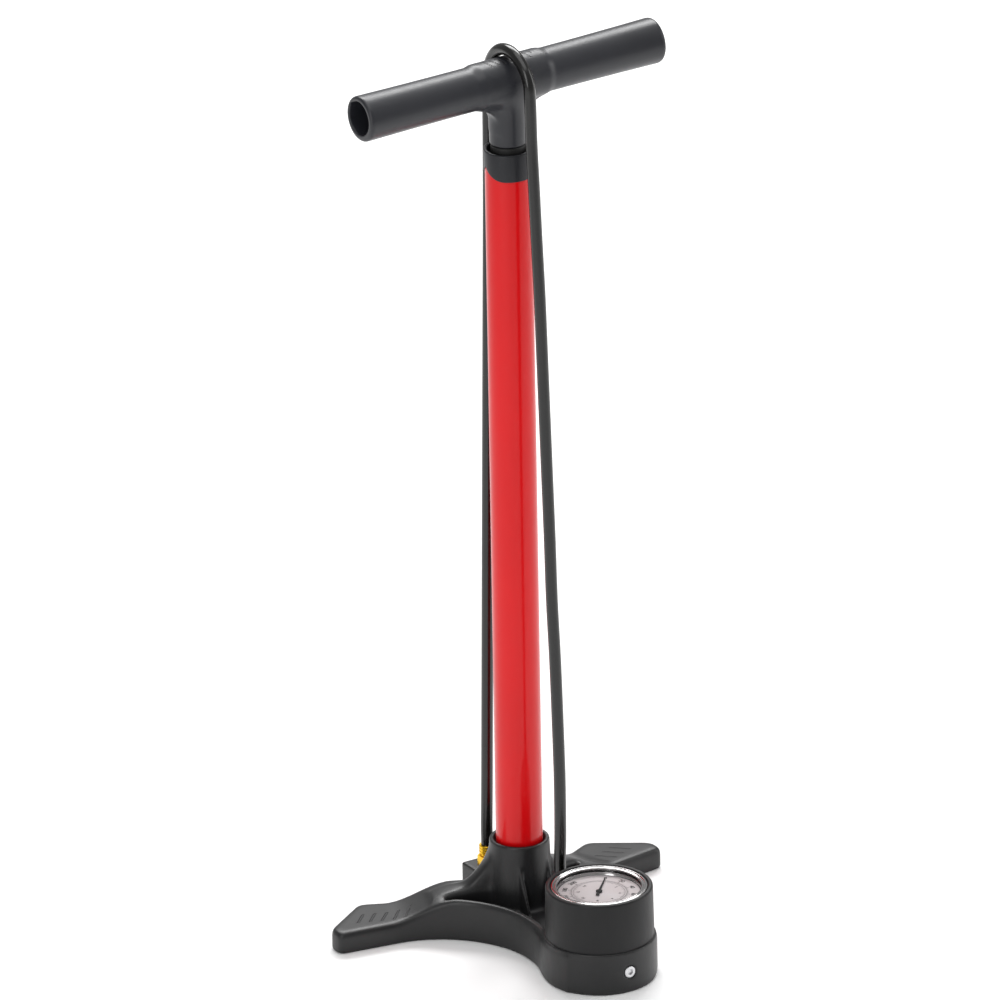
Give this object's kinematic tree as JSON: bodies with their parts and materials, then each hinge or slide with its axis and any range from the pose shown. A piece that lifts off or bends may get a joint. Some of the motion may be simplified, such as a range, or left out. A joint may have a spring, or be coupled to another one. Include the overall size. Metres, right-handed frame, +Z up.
{
  "type": "floor bike pump",
  "caption": "Floor pump for bicycle tyres: red barrel on a two-footed base with a dial gauge in front, T handle, and a hose draped over the handle.",
  "frame": {"origin": "where the barrel's axis meets the floor, on the flat underside of the base", "axes": "+Z up along the barrel, -Y towards the gauge, +X and -X towards the two feet"},
  "size_m": [0.268, 0.2076, 0.6702],
  "materials": {
    "base_plastic": "satin moulded plastic with a fine grain",
    "barrel_paint": "glossy red paint",
    "cap_plastic": "satin black plastic",
    "bearing_plastic": "natural acetal",
    "black_rubber": "matte rubber",
    "zinc": "die cast, as cast",
    "steel": "zinc plated",
    "brass": "turned brass",
    "piston_plastic": "moulded nylon",
    "seal_leather": "oiled leather cup",
    "rod_chrome": "hard chrome, polished",
    "handle_plastic": "satin moulded plastic, dark grey",
    "sleeve_plastic": "satin moulded plastic",
    "case_paint": "black enamel",
    "bezel_chrome": "polished and stepped",
    "lens": "clear",
    "dial_print": "silver grey with black scale",
    "needle_paint": "black enamel",
    "bright_steel": "bright socket screw",
    "gold_brass": "bright gold coloured brass",
    "hose_rubber": "glossy black hose",
    "black_metal": "black anodised",
    "chuck_aluminium": "turned aluminium",
    "chuck_knurl": "knurled aluminium",
    "button_red": "red button"
  },
  "bodies": {
    "stand": {"base": "base_plastic", "barrel": "barrel_paint", "barrel_collar": "cap_plastic", "rod_bushing": "bearing_plastic", "stem_bumper": "black_rubber", "valve_body": "zinc", "barrel_seal": "black_rubber", "valve_spring": "steel", "valve_cap": "brass", "base_screws": "steel", "gauge_sleeve": "sleeve_plastic", "gauge_case": "case_paint", "gauge_bezel": "bezel_chrome", "gauge_lens": "lens", "gauge_dial": "dial_print", "bourdon_tube": "brass", "gauge_movement": "brass", "gauge_stem": "brass", "gauge_block": "brass", "housing_screw": "bright_steel", "front_air_tube": "brass", "rear_air_tube": "brass", "hose_fitting": "gold_brass", "hose": "hose_rubber", "chuck_post": "steel", "chuck_ferrule": "black_metal", "chuck_body": "chuck_aluminium", "chuck_seal": "black_rubber"},
    "piston": {"piston_head": "piston_plastic", "piston_seal": "seal_leather", "piston_ring": "bearing_plastic"},
    "handle": {"handle": "handle_plastic", "handle_insert": "brass", "piston_rod": "rod_chrome", "piston_washer": "steel", "piston_nut": "steel", "topout_bumper": "black_rubber"},
    "needle": {"gauge_needle": "needle_paint"},
    "valve_ball": {"valve_ball": "steel"},
    "chuck_sleeve": {"chuck_sleeve": "chuck_knurl"},
    "bleed_button": {"bleed_button": "button_red"}
  },
  "joints": [
    {"name": "pump_stroke", "type": "slide", "parent": "stand", "child": "piston", "axis": [0, 0, 1], "range_m": [0, 0.485], "deforming": ["hose"]},
    {"name": "handle_swivel", "type": "hinge", "parent": "piston", "child": "handle", "pos_m": [0, 0, 0.06], "axis": [0, 0, 1], "range_deg": [-25, 25]},
    {"name": "needle_swing", "type": "hinge", "parent": "stand", "child": "needle", "pos_m": [0, -0.104, 0.0626], "axis": [0, 0, -1], "range_deg": [0, 300], "stiffness_Nm_per_rad": 0.0002, "springref_deg": -17.19},
    {"name": "valve_lift", "type": "slide", "parent": "stand", "child": "valve_ball", "axis": [0, 0, -1], "range_m": [0, 0.0015], "stiffness_N_per_m": 150, "springref_m": -0.002, "deforming": ["valve_spring"]},
    {"name": "chuck_thread", "type": "hinge", "parent": "stand", "child": "chuck_sleeve", "pos_m": [0, -0.053, 0.028], "axis": [0, 0, 1], "continuous": true},
    {"name": "bleed_press", "type": "slide", "parent": "stand", "child": "bleed_button", "axis": [1, 0, 0], "range_m": [0, 0.0015], "stiffness_N_per_m": 400, "springref_m": -0.001}
  ]
}
